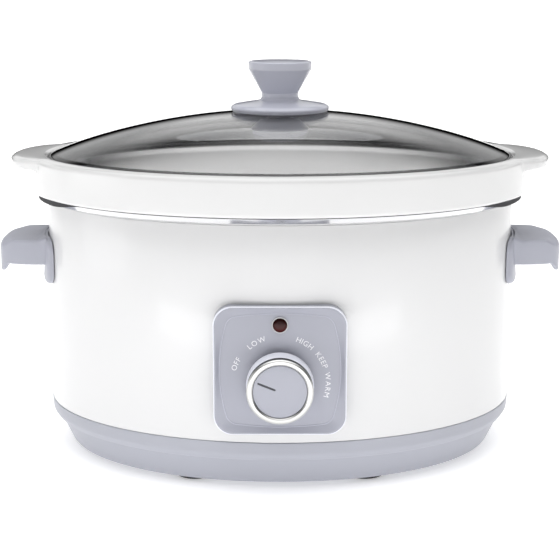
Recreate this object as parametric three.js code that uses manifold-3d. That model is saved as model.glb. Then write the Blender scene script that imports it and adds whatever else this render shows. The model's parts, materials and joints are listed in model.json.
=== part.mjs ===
// A slow cooker: an oval steel housing on a plastic base, a stoneware crock that lifts out, a domed glass lid
// with a knob, and a turning heat dial on a square panel.
// Millimetres, +Z up, the front faces -Y, and the origin is under the middle of the whole, on the surface that it
// stands on.
import * as THREE from "three";
import { mergeVertices } from "three/addons/utils/BufferGeometryUtils.js";
import Module from "manifold-3d";

const wasm = await Module();
wasm.setup();

// ---- driving dimensions ----
const GAP = 0.3; // clearance between pieces that touch
const OVAL_STEPS = 44; // facets round every oval
const OVAL_DIFFERENCE = 45.5; // long half-width less short half-width, for every oval of the housing
const FLOOR_RADIUS = 120; // inside this long half-width an oval keeps one ratio, so floors close on the axis

const SHELL = { low: 175, high: 173.2, bottom: 38.3, top: 189, sheet: 1 };
const BASE = { foot: 161, groove: 169.3, grooveZ: 23.9, top: 175.2, topZ: 38, floor: 3.8, wall: 2.5 };
const FEET = { x: 60.5, y: 85, radius: 15 };
const WELL = { low: 159, high: 165, floor: 52, top: 193.4, sheet: 1 };
const RING = { low: 173.9, high: 179.2, bottom: 189.4, top: 195, inner: 162.4 };
const CROCK = { collar: 184.5, collarZ: 195.3, rim: 222.2, ledge: 215.8, body: 160.2, foot: 140, footZ: 60.3 };
const EAR = { centre: 165, reach: 34.8, halfWidth: 48, power: 2.2, bottom: 214.2, top: 221 };
const LID = { rim: 171, rimZ: 221.6, rise: 31.6, glass: 5.5, ledge: 216.1, ratio: 0.734 };
const KNOB = { flange: 36.7, neck: 13.6, band: 23.2, top: 289.5, bottom: 252.3 };
const PANEL = { width: 90, height: 89.6, corner: 13, middle: 90.8, face: 135, wall: 2.5, field: 0.8 };
const FIELD = { halfWidth: 41, halfHeight: 39.8, corner: 7, sideBow: 6, topBow: 2.7 };
const DIAL = { z: 82.4, back: 138, face: 155, radius: 22.9, ring: 22.3, cap: 18, offAngle: 68 };
const POINTER = { middle: 9.6, length: 12.8, width: 1.4 };
const SWITCH = { back: 118.4, width: 28, bush: 5, bushFront: 139.2 };
const LAMP = { z: 122.7, radius: 5, holderBack: 119.8 };
const HANDLE = { top: 160.6, wallBottom: 142, lip: 135, reach: 209.8, halfWidth: 33, wall: 3 };
const PLATE = { inner: 174.3, outer: 178.2, middle: 145.6, height: 34.4, halfWidth: 41.5, corner: 9 };
const HANDLE_SCREW = { y: 25, z: 151, shaft: 2, head: 4 };
const HEATER = { bottom: 75, top: 125, thick: 2, lugY: 122, lugZ: 101 };
const SHIELD = { radius: 148, z: 30 };
const FUSE = { x: 60, y: 20, radius: 2.2 };
const TERMINALS = { x: -62, y: 62, pitch: 10 };
const INLET = { z: 58, bore: 4, neck: 8, flange: 11 };
// The dial stands further forward than the crock's rim reaches back, so the housing's middle is a little behind.
const HOUSING_Y = (DIAL.face - (CROCK.collar - OVAL_DIFFERENCE)) / 2;

// ---- finishes ----
function finish(color, roughness, metalness = 0) {
  return new THREE.MeshStandardMaterial({ color, roughness, metalness });
}
const WHITE_PAINT = finish(0xf0f0f2, 0.25);
const STONEWARE = finish(0xf2f2f3, 0.15);
const GREY_PLASTIC = finish(0xb4b5c0, 0.45);
const PALE_PLASTIC = finish(0xd8dae6, 0.4);
const POLISHED_STEEL = finish(0xd0d2d6, 0.15, 1);
const WELL_STEEL = finish(0xb9bcc0, 0.4, 1);
const PEARL_TRIM = finish(0xe6e5de, 0.25, 0.6);
const DARK_INK = finish(0x4a4c55, 0.5);
const RED_LENS = finish(0x4a1512, 0.1);
const GLASS = new THREE.MeshStandardMaterial({ color: 0xdfe4e6, roughness: 0.02, transparent: true, opacity: 0.3 });
const BLACK_RUBBER = finish(0x3a3b40, 0.8);
const CLEAR_RUBBER = finish(0xd9dadc, 0.6);
const SCREW_STEEL = finish(0xa9abb0, 0.35, 1);
const MICA_STEEL = finish(0x9a9488, 0.5, 0.8);
const CERAMIC = finish(0xe9e4d8, 0.5);
const DARK_PHENOLIC = finish(0x2b2b2e, 0.5);
const WIRE_SLEEVE = finish(0xe8e8e8, 0.6);

// ---- solids ----
// A geometry as a solid that can be joined and cut.
function solid(geometry) {
  const bare = geometry.index ? geometry.toNonIndexed() : geometry.clone();
  bare.deleteAttribute("normal");
  bare.deleteAttribute("uv");
  const merged = mergeVertices(bare, 1e-3);
  const vertProperties = merged.attributes.position.array;
  const triVerts = new Uint32Array(merged.index.array);
  return new wasm.Manifold(new wasm.Mesh({ numProp: 3, vertProperties, triVerts }));
}

function geometryOf(manifold) {
  const mesh = manifold.getMesh();
  const geometry = new THREE.BufferGeometry();
  geometry.setAttribute("position", new THREE.BufferAttribute(mesh.vertProperties, 3));
  geometry.setIndex(new THREE.BufferAttribute(mesh.triVerts, 1));
  return geometry;
}

const cut = (body, ...tools) => geometryOf(tools.reduce((left, tool) => left.subtract(solid(tool)), solid(body)));
const join = (...parts) => geometryOf(parts.map(solid).reduce((whole, part) => whole.add(part)));
const common = (a, b) => geometryOf(solid(a).intersect(solid(b)));

// A profile of [radius, height] points turned round the Z axis; it runs outwards below, up outside, in on top.
function turned(points, steps = 24) {
  const geometry = new THREE.LatheGeometry(points.map(([r, z]) => new THREE.Vector2(r, z)), steps);
  return geometry.rotateX(Math.PI / 2);
}

// The short half-width of the oval whose long half-width is a.
function shortHalf(a, even) {
  return a >= even ? a - OVAL_DIFFERENCE : (a * (even - OVAL_DIFFERENCE)) / even;
}

// The same profile carried round an oval: a is the long half-width, and inside `even` the oval keeps one ratio.
function oval(points, even = FLOOR_RADIUS) {
  const geometry = turned(points, OVAL_STEPS);
  const place = geometry.attributes.position;
  for (let i = 0; i < place.count; i++) {
    const a = Math.hypot(place.getX(i), place.getY(i));
    if (a > 0) place.setY(i, (place.getY(i) * shortHalf(a, even)) / a);
  }
  return geometry;
}

const rod = (radius, low, high, steps = 16) => turned([[0, low], [radius, low], [radius, high], [0, high]], steps);
const tube = (inner, outer, low, high, steps = 20) =>
  turned([[inner, low], [outer, low], [outer, high], [inner, high], [inner, low]], steps);
const nut = (bore, corner, low, high) => cut(rod(corner, low, high, 6), rod(bore, low - 1, high + 1));

function block(width, depth, height, x, y, z) {
  return new THREE.BoxGeometry(width, depth, height).translate(x, y, z);
}

// Turns +Z to the front, so that a height becomes a distance forward of the axis.
const toFront = (geometry, x, z) => geometry.rotateX(Math.PI / 2).translate(x, 0, z);
// Turns +Z to the right-hand side.
const toSide = (geometry, y, z) => geometry.rotateY(Math.PI / 2).translate(0, y, z);

function roundedRectangle(width, height, corner) {
  const x = width / 2 - corner;
  const y = height / 2 - corner;
  const shape = new THREE.Shape();
  shape.absarc(x, y, corner, 0, Math.PI / 2);
  shape.absarc(-x, y, corner, Math.PI / 2, Math.PI);
  shape.absarc(-x, -y, corner, Math.PI, Math.PI * 1.5);
  shape.absarc(x, -y, corner, Math.PI * 1.5, Math.PI * 2);
  return shape;
}

function extruded(shape, low, high, options = {}) {
  const bevel = options.bevel ?? 0;
  const settings = {
    depth: high - low - 2 * bevel,
    bevelEnabled: bevel > 0,
    bevelThickness: bevel,
    bevelSize: bevel,
    bevelOffset: -bevel,
    bevelSegments: options.bevelSteps ?? 1,
    curveSegments: options.curve ?? 5,
  };
  return new THREE.ExtrudeGeometry(shape, settings).translate(0, 0, low + bevel);
}

// ---- the parts, placed about the housing's middle ----
const cooker = new THREE.Group();
cooker.position.y = HOUSING_Y;

function add(name, geometry, material, parent = cooker) {
  const mesh = new THREE.Mesh(geometry, material);
  mesh.name = name;
  parent.add(mesh);
  return mesh;
}

// The long half-width of the shell's outer face at a height.
function shellAt(z) {
  const share = (z - SHELL.bottom) / (SHELL.top - SHELL.bottom);
  return SHELL.low + (SHELL.high - SHELL.low) * share;
}

function addBase() {
  const { foot, groove, grooveZ, top, topZ, floor, wall } = BASE;
  const lip = SHELL.low - SHELL.sheet - GAP;
  const pan = oval([
    [0, floor], [foot - 2, floor], [foot, floor + 2], [groove, grooveZ], [groove + 1.6, grooveZ + 0.7],
    [top - 2.2, grooveZ + 3.6], [top - 0.6, grooveZ + 8], [top, topZ], [lip, topZ], [lip, topZ + 4],
    [lip - 2, topZ + 4], [lip - 2, grooveZ + 8.6], [top - 5, grooveZ + 5.4], [groove - wall, grooveZ + 2.6],
    [foot - wall, floor + wall + 2], [foot - wall - 2, floor + wall], [0, floor + wall],
  ]);
  const holes = [rod(3.4, 0, 10)];
  for (const sx of [-1, 1])
    for (const sy of [-1, 1]) holes.push(rod(3.8, 0, 10, 12).translate(sx * FEET.x, sy * FEET.y, 0));
  for (let slot = -3; slot <= 3; slot++)
    if (slot !== 0) holes.push(block(4.4, 30, 10, slot * 16, 0, floor));
  add("base_pan", cut(pan, ...holes), GREY_PLASTIC);

  const pad = turned([[0, 0], [FEET.radius - 1, 0], [FEET.radius, 1], [FEET.radius - 0.8, floor - GAP],
    [3.4, floor - GAP], [3.4, floor + wall + GAP], [4.6, floor + wall + GAP], [3.2, floor + wall + 3],
    [0, floor + wall + 3]], 20);
  for (const [end, sy] of [["front", -1], ["rear", 1]])
    for (const [side, sx] of [["left", -1], ["right", 1]])
      add(`foot_${end}_${side}`, pad, BLACK_RUBBER).position.set(sx * FEET.x, sy * FEET.y, 0);
}

function addShell() {
  const { low, high, bottom, top, sheet } = SHELL;
  const wall = oval([[low - sheet, bottom], [low, bottom], [high, top], [high - sheet, top], [low - sheet, bottom]]);
  const window = block(62, 60, 80, 0, -130, PANEL.middle);
  const inlet = toFront(rod(INLET.neck + GAP, -140, -110), 0, INLET.z);
  const screwHoles = [];
  for (const x of [-1, 1])
    for (const y of [-1, 1])
      screwHoles.push(toSide(rod(HANDLE_SCREW.shaft + 0.5, 150, 185, 12), y * HANDLE_SCREW.y, HANDLE_SCREW.z)
        .rotateZ(x > 0 ? 0 : Math.PI));
  add("outer_shell", cut(wall, window, inlet, ...screwHoles), WHITE_PAINT);
}

function addRing() {
  const { low, high, bottom, top, inner } = RING;
  add("rim_trim_ring", oval([
    [low, bottom], [low + 2.6, bottom + 1.2], [high, top - 1], [high - 0.6, top], [inner, top],
    [inner, top - 9], [inner + 1, top - 9], [inner + 1, top - 1.2], [high - 2.4, top - 1.2],
    [low - 1, bottom + 0.6], [low, bottom],
  ]), POLISHED_STEEL);
}

function addWell() {
  const { low, high, floor, top, sheet } = WELL;
  add("heating_well", oval([
    [0, floor], [low - 13, floor], [low - 5, floor + 2.5], [low, floor + 8], [high, top], [high - sheet, top],
    [low - sheet, floor + 8.6], [low - 5.6, floor + 3.4], [low - 13.2, floor + sheet], [0, floor + sheet],
  ]), WELL_STEEL);
  addHeater();
  addUnderside();
}

// The long half-width of the well's outer face at a height.
function wellAt(z) {
  const from = WELL.floor + 8;
  return WELL.low + ((WELL.high - WELL.low) * (z - from)) / (WELL.top - from);
}

function addHeater() {
  const { bottom, top, thick, lugY, lugZ } = HEATER;
  const low = wellAt(bottom) + GAP;
  const high = wellAt(top) + GAP;
  const band = oval([[low, bottom], [low + thick, bottom], [high + thick, top], [high, top], [low, bottom]]);
  const split = block(16, 40, 80, 0, 120, (bottom + top) / 2);
  const lugs = [-1, 1].map((side) => block(2, 9.4, 14, side * 9, lugY - 0.8, lugZ));
  const whole = join(cut(band, split), ...lugs);
  const hole = toSide(rod(2.4, -15, 15, 12), lugY, lugZ);
  add("heater_band", cut(whole, hole), MICA_STEEL);
  const bolt = [[0, -14], [3.6, -14], [3.6, -10.3], [1.8, -10.3], [1.8, 13.5], [0, 13.5]];
  add("band_clamp_bolt", toSide(turned(bolt, 12), lugY, lugZ), SCREW_STEEL);
  add("band_clamp_nut", toSide(nut(2.2, 4, 10.3, 12.8), lugY, lugZ), SCREW_STEEL);
}

// What sits between the well and the base: a plate that keeps the heat up, its bolt, and the wiring's parts.
function addUnderside() {
  const { radius, z } = SHIELD;
  const shield = oval([[0, z], [radius, z], [radius + 2, z - 3], [radius + 3, z - 3], [radius + 0.6, z + 1],
    [0, z + 1]]);
  add("heat_shield", cut(shield, rod(3.8, z - 10, z + 10), block(40, 26, 20, -40, -70, z)), WELL_STEEL);
  const stud = [[0, BASE.floor - 3], [2.9, BASE.floor - 3], [2.9, 49.8], [9, 49.8],
    [9, WELL.floor - GAP], [0, WELL.floor - GAP]];
  add("centre_stud", turned(stud, 16), SCREW_STEEL);
  add("centre_nut", nut(3.3, 6.4, 0.8, BASE.floor - GAP), SCREW_STEEL);
  add("shield_spacer", tube(3.3, 6, BASE.floor + BASE.wall + GAP, z - GAP, 14), SCREW_STEEL);
  const fuseZ = WELL.floor - GAP - FUSE.radius;
  const fuse = rod(FUSE.radius, -7, 7, 12).rotateY(Math.PI / 2).translate(FUSE.x, FUSE.y, fuseZ);
  add("thermal_fuse", fuse, POLISHED_STEEL);
  const seat = block(8, 16, 3.4, FUSE.x, FUSE.y, WELL.floor - GAP - 3.2);
  const clip = cut(seat, block(30, 5.2, 10, FUSE.x, FUSE.y, fuseZ + 2.4));
  add("fuse_clip", clip, SCREW_STEEL);
  const { x, y, pitch } = TERMINALS;
  const terminals = block(34, 18, 14, x, y, BASE.floor + BASE.wall + GAP + 7);
  const wells = [-1, 0, 1].map((i) => rod(2.2, 14, 30, 10).translate(x + i * pitch, y, 0));
  add("terminal_block", cut(terminals, ...wells), CERAMIC);
}

// The panel's inner field: a square with bowed sides and round corners.
function fieldShape() {
  const { halfWidth, halfHeight, corner, sideBow, topBow } = FIELD;
  const x = halfWidth - sideBow;
  const y = halfHeight - topBow;
  const shape = new THREE.Shape();
  shape.moveTo(x - corner, y);
  shape.quadraticCurveTo(0, y + 2 * topBow, -(x - corner), y);
  shape.quadraticCurveTo(-x, y, -x, y - corner);
  shape.quadraticCurveTo(-x - 2 * sideBow, 0, -x, -(y - corner));
  shape.quadraticCurveTo(-x, -y, -(x - corner), -y);
  shape.quadraticCurveTo(0, -y - 2 * topBow, x - corner, -y);
  shape.quadraticCurveTo(x, -y, x, -(y - corner));
  shape.quadraticCurveTo(x + 2 * sideBow, 0, x, y - corner);
  shape.quadraticCurveTo(x, y, x - corner, y);
  return shape;
}

function addPanel() {
  const { width, height, corner, middle, face, wall, field } = PANEL;
  const plate = toFront(extruded(roundedRectangle(width, height, corner), 110, face, { bevel: 1.2 }), 0, middle);
  const low = shellAt(40) + GAP;
  const housing = oval([[0, 30], [low, 30], [low, 160], [0, 160]]);
  const pocketShape = roundedRectangle(width - 2 * wall, height - 2 * wall, corner - wall);
  const pocket = toFront(extruded(pocketShape, 100, face - wall), 0, middle);
  const sunk = toFront(extruded(fieldShape(), face - field, face + 5), 0, middle);
  const shaftHole = toFront(rod(5.4, 100, 150, 20), 0, DIAL.z);
  const lampHole = toFront(rod(LAMP.radius + GAP, 100, 150, 20), 0, LAMP.z);
  add("control_panel", cut(plate, housing, pocket, sunk, shaftHole, lampHole), GREY_PLASTIC);

  const behind = face - wall - GAP;
  const lens = [[0, behind - 1.6], [6.6, behind - 1.6], [6.6, behind], [LAMP.radius, behind],
    [LAMP.radius, face + 0.2], [3.6, face + 1.1], [0, face + 1.5]];
  add("lamp_lens", toFront(turned(lens, 20), 0, LAMP.z), RED_LENS);
  add("lamp_holder", toFront(rod(5, LAMP.holderBack, behind - 1.6 - GAP, 12), 0, LAMP.z), CERAMIC);
}

function addSwitch() {
  const behind = PANEL.face - PANEL.wall - GAP;
  const { back, width, bush, bushFront } = SWITCH;
  const body = toFront(block(width, width, behind - back, 0, 0, (behind + back) / 2), 0, DIAL.z);
  const collar = toFront(rod(bush, behind - 1, bushFront, 16), 0, DIAL.z);
  const bore = toFront(rod(3.4, 123, 150, 14), 0, DIAL.z);
  add("rotary_switch", cut(join(body, collar), bore), DARK_PHENOLIC);
  const front = PANEL.face - PANEL.field + GAP;
  add("switch_nut", toFront(nut(5.4, 7.8, front, front + 2.4), 0, DIAL.z), SCREW_STEEL);
}

function addDial() {
  const { z, back, face, radius, ring, cap, offAngle } = DIAL;
  const shoulder = face - 3.6;
  const dial = new THREE.Group();
  dial.position.z = z;
  dial.rotation.x = Math.PI / 2;
  cooker.add(dial);
  add("dial_knob", turned([
    [0, 148.3], [3.3, 148.3], [3.3, 139.6], [6.5, 139.6], [6.5, 149], [20.4, 149], [20.9, back], [radius, back],
    [ring, shoulder], [0, shoulder],
  ], 30), PALE_PLASTIC, dial);
  add("dial_ring", turned([
    [cap + 0.4, shoulder + GAP], [ring - 0.2, shoulder + GAP], [ring, face - 1.2], [ring - 0.8, face],
    [cap + 1.4, face], [cap + 0.4, face - 1.1], [cap + 0.4, shoulder + GAP],
  ], 30), PEARL_TRIM, dial);
  const disc = turned([[0, shoulder + GAP], [cap, shoulder + GAP], [cap, face - 1.5], [cap - 0.5, face - 1],
    [0, face - 0.8]], 30);
  const line = (width, length, low, high) => block(width, length, high - low, 0, POINTER.middle, (low + high) / 2);
  const turn = THREE.MathUtils.degToRad(offAngle);
  const groove = line(POINTER.width + 2 * GAP, POINTER.length + 2 * GAP, face - 2, face + 1).rotateZ(turn);
  const inlay = line(POINTER.width, POINTER.length, face - 2 + GAP, face - 0.9).rotateZ(turn);
  add("dial_cap", cut(disc, groove), GREY_PLASTIC, dial);
  add("dial_pointer", inlay, DARK_INK, dial);
  add("dial_shaft", rod(3, 124, 148, 14), SCREW_STEEL, dial);
}

function cupOutline(inset) {
  const half = HANDLE.halfWidth - inset;
  const end = HANDLE.reach - inset;
  const shape = new THREE.Shape();
  shape.moveTo(160, -half);
  shape.lineTo(192, -half);
  shape.quadraticCurveTo(end, -half + 2, end, -half + 20);
  shape.lineTo(end, half - 20);
  shape.quadraticCurveTo(end, half - 2, 192, half);
  shape.lineTo(160, half);
  return shape;
}

// One side handle, made on the right: a curved plate against the shell and a cup to lift by, hollow below.
function handleGeometry() {
  const { top, wallBottom, lip, wall } = HANDLE;
  const cup = extruded(cupOutline(0), lip - 2, top, { bevel: 1.6, curve: 6 });
  const under = extruded(cupOutline(wall), lip - 10, top - wall, { curve: 6 });
  const sides = block(60, 100, 20, 174, 0, wallBottom - 10);
  const tip = block(60, 100, 10, 200, 0, lip - 5);
  const housing = oval([[0, 120], [PLATE.outer - 1, 120], [PLATE.outer - 1, 180], [0, 180]]);
  const hollow = cut(cup, under, sides, tip, housing);
  const sheet = oval([[PLATE.inner, 120], [PLATE.outer, 120], [PLATE.outer, 180], [PLATE.inner, 180],
    [PLATE.inner, 120]]);
  const outline = roundedRectangle(PLATE.halfWidth * 2, PLATE.height, PLATE.corner);
  const stamp = extruded(outline, 140, 200).rotateX(Math.PI / 2).rotateZ(Math.PI / 2).translate(0, 0, PLATE.middle);
  const plate = common(sheet, stamp);
  const bosses = [-1, 1].map((side) => toSide(rod(4.5, 172, 190, 12), side * HANDLE_SCREW.y, HANDLE_SCREW.z));
  const holes = [-1, 1].map((side) => toSide(rod(2.3, 150, 188.5, 12), side * HANDLE_SCREW.y, HANDLE_SCREW.z));
  return cut(join(hollow, plate, ...bosses), oval([[0, 120], [PLATE.inner, 120], [PLATE.inner, 180], [0, 180]]),
    ...holes);
}

function addHandles() {
  const screw = [[0, 164.4], [HANDLE_SCREW.head, 164.4], [HANDLE_SCREW.head, 166.6], [HANDLE_SCREW.shaft, 167.2],
    [HANDLE_SCREW.shaft, 186], [0, 187.6]];
  for (const [side, turn] of [["right", 0], ["left", Math.PI]]) {
    const group = new THREE.Group();
    group.rotation.z = turn;
    cooker.add(group);
    add("handle_" + side, handleGeometry(), GREY_PLASTIC, group);
    for (const [end, y] of [["1", -HANDLE_SCREW.y], ["2", HANDLE_SCREW.y]])
      add("handle_screw_" + side + "_" + end, toSide(turned(screw, 10), y, HANDLE_SCREW.z), SCREW_STEEL, group);
  }
}

function addInlet() {
  const { z, bore, neck, flange } = INLET;
  const bush = turned([[bore, 122], [neck + 1.5, 122], [neck + 1.5, 127.2], [neck, 127.2], [neck, 130.4],
    [flange, 130.4], [flange - 1, 133], [bore, 133], [bore, 122]], 20);
  const housing = oval([[0, 40], [shellAt(z) + GAP, 40], [shellAt(z) + GAP, 80], [0, 80]]);
  const inside = rod(neck, 100, 135, 20);
  const back = toFront(bush, 0, -z).rotateX(Math.PI);
  const outer = common(cut(back, housing), block(60, 60, 60, 0, 140, z));
  const inner = common(back, toFront(inside, 0, -z).rotateX(Math.PI));
  add("cord_inlet_bush", join(outer, inner), BLACK_RUBBER);
}

// A wire's sleeve: a round section carried along a smooth curve through its points.
function wire(points, steps) {
  const path = new THREE.CatmullRomCurve3(points.map((p) => new THREE.Vector3(...p)));
  const section = new THREE.Shape().absarc(0, 0, 1.3, 0, Math.PI * 2);
  return new THREE.ExtrudeGeometry(section, { steps, extrudePath: path, curveSegments: 6, bevelEnabled: false });
}

// Each wire's route is chosen by hand, round the shield's edge and up the gap between the well and the shell.
function addWiring() {
  const routes = {
    wire_supply: [[0, 118, 57], [-8, 113, 44], [-24, 110, 33], [-42, 104, 24], [-52, 86, 19], [-52, 71.6, 16]],
    wire_to_switch: [[-62, 52.4, 16], [-70, 20, 18], [-66, -30, 18], [-50, -62, 23], [-40, -78, 33],
      [-32, -102, 41], [-20, -118, 52], [-9, -123.5, 61], [-8, -124, DIAL.z - SWITCH.width / 2 - 0.6]],
    wire_to_heater: [[14.6, -123.6, 84], [24, -123, 84], [36, -119.5, 86], [44, -115.5, 88]],
    wire_to_lamp: [[6, -124, DIAL.z + SWITCH.width / 2 + 0.6], [9, -124, 103], [8, -124, 110], [3, -124, 117.3]],
  };
  for (const [name, route] of Object.entries(routes)) add(name, wire(route, route.length * 2), WIRE_SLEEVE);
}

function addCrock() {
  const { collar, collarZ, rim, ledge, body, foot, footZ } = CROCK;
  const pot = oval([
    [0, footZ], [foot, footZ], [foot + 9, footZ + 2.4], [foot + 14, footZ + 8], [foot + 15.4, footZ + 17],
    [body, collarZ - 4], [body + 0.5, collarZ - 1.2], [body + 1.8, collarZ], [collar - 2.4, collarZ],
    [collar - 0.7, collarZ + 0.7], [collar, collarZ + 2.4], [collar, rim - 3], [collar - 1.1, rim - 0.8],
    [collar - 3.6, rim], [174.4, rim], [172.8, rim - 1], [172.3, ledge + 0.5], [171.6, ledge], [160, ledge],
    [156.8, ledge - 2.5], [154.4, ledge - 12], [148, footZ + 26], [144, footZ + 15.5], [134, footZ + 9.8],
    [0, footZ + 9],
  ]);
  const { centre, reach, halfWidth, power, bottom, top } = EAR;
  const shape = new THREE.Shape();
  const bend = (t) => Math.sign(t) * Math.abs(t) ** (2 / power);
  const steps = 18;
  shape.moveTo(centre, -halfWidth);
  for (let i = 1; i <= steps; i++) {
    const angle = (i / steps - 0.5) * Math.PI;
    shape.lineTo(centre + reach * bend(Math.cos(angle)), halfWidth * bend(Math.sin(angle)));
  }
  const inside = oval([[0, 200], [175, 200], [175, 230], [0, 230]]);
  const lug = cut(extruded(shape, bottom, top, { bevel: 1.6 }), inside);
  add("crock", join(pot, lug, lug.clone().rotateZ(Math.PI)), STONEWARE);
}

// The height of the lid's outer face where the long half-width is a.
function domeAt(a) {
  const share = a / LID.rim;
  return LID.rimZ + LID.rise * (1 - 0.96 * share ** 2 - 0.04 * share ** 13);
}

function domeProfile(from, to, steps, drop) {
  const points = [];
  for (let i = 0; i <= steps; i++) {
    const a = from + ((to - from) * i) / steps;
    points.push([Math.max(a, 0), domeAt(a) - drop]);
  }
  return points;
}

function addLid() {
  const { rim, ledge, glass } = LID;
  const under = domeProfile(0, rim - 8, 4, glass);
  const over = domeProfile(rim - 0.8, 0, 6, 0);
  const dome = oval([...under, [rim - 7, ledge], [rim - 0.6, ledge], [rim, ledge + 0.8], [rim, LID.rimZ - 0.9],
    ...over], rim);
  add("lid_glass", cut(dome, rod(3.6, 230, 260)), GLASS);

  const { flange, neck, band, top, bottom } = KNOB;
  const knob = turned([
    [0, bottom], [flange - 3, bottom], [flange - 0.4, bottom + 1], [flange, bottom + 2.4],
    [flange - 1.2, bottom + 4], [flange - 7, bottom + 5.4], [neck + 3, bottom + 6.6], [neck + 0.3, bottom + 8.6],
    [neck, bottom + 13], [band, top - 6.4], [band, top - 1.8], [band - 0.6, top - 1.2], [band * 0.5, top - 0.2],
    [0, top],
  ], 26);
  const glassBelow = oval([[0, 230], [60, 230], ...domeProfile(60, 0, 4, -GAP)], rim);
  add("lid_knob", cut(knob, glassBelow, rod(2.6, 240, 276, 12)), GREY_PLASTIC);

  const inner = domeAt(0) - glass;
  const washer = { low: inner - 2.1, high: inner - GAP - 0.4 };
  add("sealing_washer", tube(3.2, 10, washer.low, washer.high), CLEAR_RUBBER);
  const coneTop = washer.low - GAP;
  const seat = coneTop - 4;
  add("knob_retainer", turned([[3.2, seat], [7, seat], [7, coneTop - 7.6], [21, coneTop - 7.6], [21.4, coneTop - 6],
    [14.6, coneTop], [3.2, coneTop], [3.2, seat]], 28), GREY_PLASTIC);
  const head = seat - GAP;
  add("knob_screw", turned([[0, head - 2.6], [5.4, head - 2.6], [6, head - 1.4], [6, head], [2.2, head],
    [2.2, 272], [0, 274]], 14), SCREW_STEEL);
}

addBase();
addShell();
addRing();
addWell();
addPanel();
addSwitch();
addDial();
addHandles();
addInlet();
addWiring();
addCrock();
addLid();

export default cooker;
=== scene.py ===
import json
import math

import bpy
import numpy as np
from mathutils import Matrix, Vector


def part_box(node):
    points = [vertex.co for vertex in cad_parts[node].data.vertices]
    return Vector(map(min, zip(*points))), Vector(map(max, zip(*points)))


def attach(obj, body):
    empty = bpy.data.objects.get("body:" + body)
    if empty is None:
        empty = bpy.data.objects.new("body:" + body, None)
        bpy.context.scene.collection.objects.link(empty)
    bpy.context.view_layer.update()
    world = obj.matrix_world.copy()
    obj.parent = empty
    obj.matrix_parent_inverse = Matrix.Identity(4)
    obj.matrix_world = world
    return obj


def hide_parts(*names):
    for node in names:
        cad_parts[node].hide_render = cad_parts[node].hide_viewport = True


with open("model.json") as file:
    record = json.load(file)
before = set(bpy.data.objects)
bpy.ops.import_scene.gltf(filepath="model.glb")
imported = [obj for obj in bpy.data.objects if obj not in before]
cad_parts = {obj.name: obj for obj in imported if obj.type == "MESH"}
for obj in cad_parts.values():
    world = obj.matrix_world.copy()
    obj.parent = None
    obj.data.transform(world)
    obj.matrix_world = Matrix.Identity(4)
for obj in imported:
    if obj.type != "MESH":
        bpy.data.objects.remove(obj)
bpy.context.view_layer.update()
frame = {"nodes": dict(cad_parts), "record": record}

# Shapes are worked out in millimetres, as the design is, and go into the meshes in metres.
MM = 0.001
OVAL_DIFFERENCE = 45.5  # long half-width less short half-width of every oval in the housing
INNER_OVAL = 120.0  # inside this long half-width the ovals keep one ratio, down to the middle point
OVAL_STEPS = 288
ROUND_STEPS = 96
FINE_STEPS = 128
SHARP_EDGE = 40  # degrees between two faces past which the edge between them stays crisp


def middle(node):
    """The middle of a CAD node's box, in millimetres."""
    low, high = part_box(node)
    return (low + high) / (2 * MM)


def top_of(node):
    """The height of a CAD node's top, in millimetres."""
    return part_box(node)[1].z / MM


HOUSING_Y = middle("outer_shell").y  # every shape below is given about the housing's own middle
DIAL_Z = middle("dial_knob").z
LAMP_Z = middle("lamp_lens").z
PANEL_Z = middle("control_panel").z
INLET_Z = middle("cord_inlet_bush").z
PANEL_FACE = HOUSING_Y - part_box("control_panel")[0].y / MM
DIAL_FACE = HOUSING_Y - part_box("dial_ring")[0].y / MM
RIM_Z = top_of("crock")
KNOB_TOP = top_of("lid_knob")
FOOT_X, FOOT_Y = middle("foot_rear_right").x, middle("foot_rear_right").y - HOUSING_Y
LID_RIM, LID_RIM_SHORT, LID_RIM_Z, LID_RISE, GLASS = 171.0, 125.5, 221.6, 31.6, 5.0
LEDGE, LEDGE_SHORT = 166.0, 120.5
SHELL_LOW, SHELL_HIGH = 175.0, 173.2
SHELL_BOTTOM, SHELL_TOP = 38.3, top_of("outer_shell")
PLATE_HALF_Y, PLATE_HALF_Z, PLATE_Z, PLATE_THICK, PLATE_INSIDE = 41.5, 17.2, 145.6, 4.2, 174.3
HANDLE_TOP, HANDLE_END, SCREW_Z = 160.6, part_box("handle_right")[1].x / MM, 151.0
HANDLE_ROOT, HANDLE_HALF = 170.0, 33.0  # where the cup's outline starts in x, and its half-width in y
COLLAR, COLLAR_DEPTH = 184.5, 139.0  # half-widths of the crock's collar
EAR_ROOT, EAR_LENGTH, EAR_HALF = 165.0, 34.8, 48.0
POINTER_LEAN = 68  # degrees from upright at which the dial's pointer rests

SKY_TOP, SKY_FRONT, SKY_BACK, FLOOR_GLOW = 2.40, 0.13, 0.80, 0.38
# Soft lamps: name, place, the point it faces, width and height in metres, and power in watts.
LAMPS = (
    ("key", (-0.5, -1.0, 1.3), (0, 0, 0.15), (0.8, 0.6), 0.35),
    ("left_softbox", (-1.5, -0.35, 0.35), (-0.1, 0, 0.12), (0.8, 0.8), 2.0),
    ("low_fill", (0, -0.42, 0.012), (0, -0.12, 0.09), (0.9, 0.1), 0.6),
)
CAMERA_AWAY, CAMERA_HEIGHT = 1.0, 0.351  # metres
CAMERA_DIP, CAMERA_LENS = 12.83, 86.27  # degrees below level, and millimetres


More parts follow.
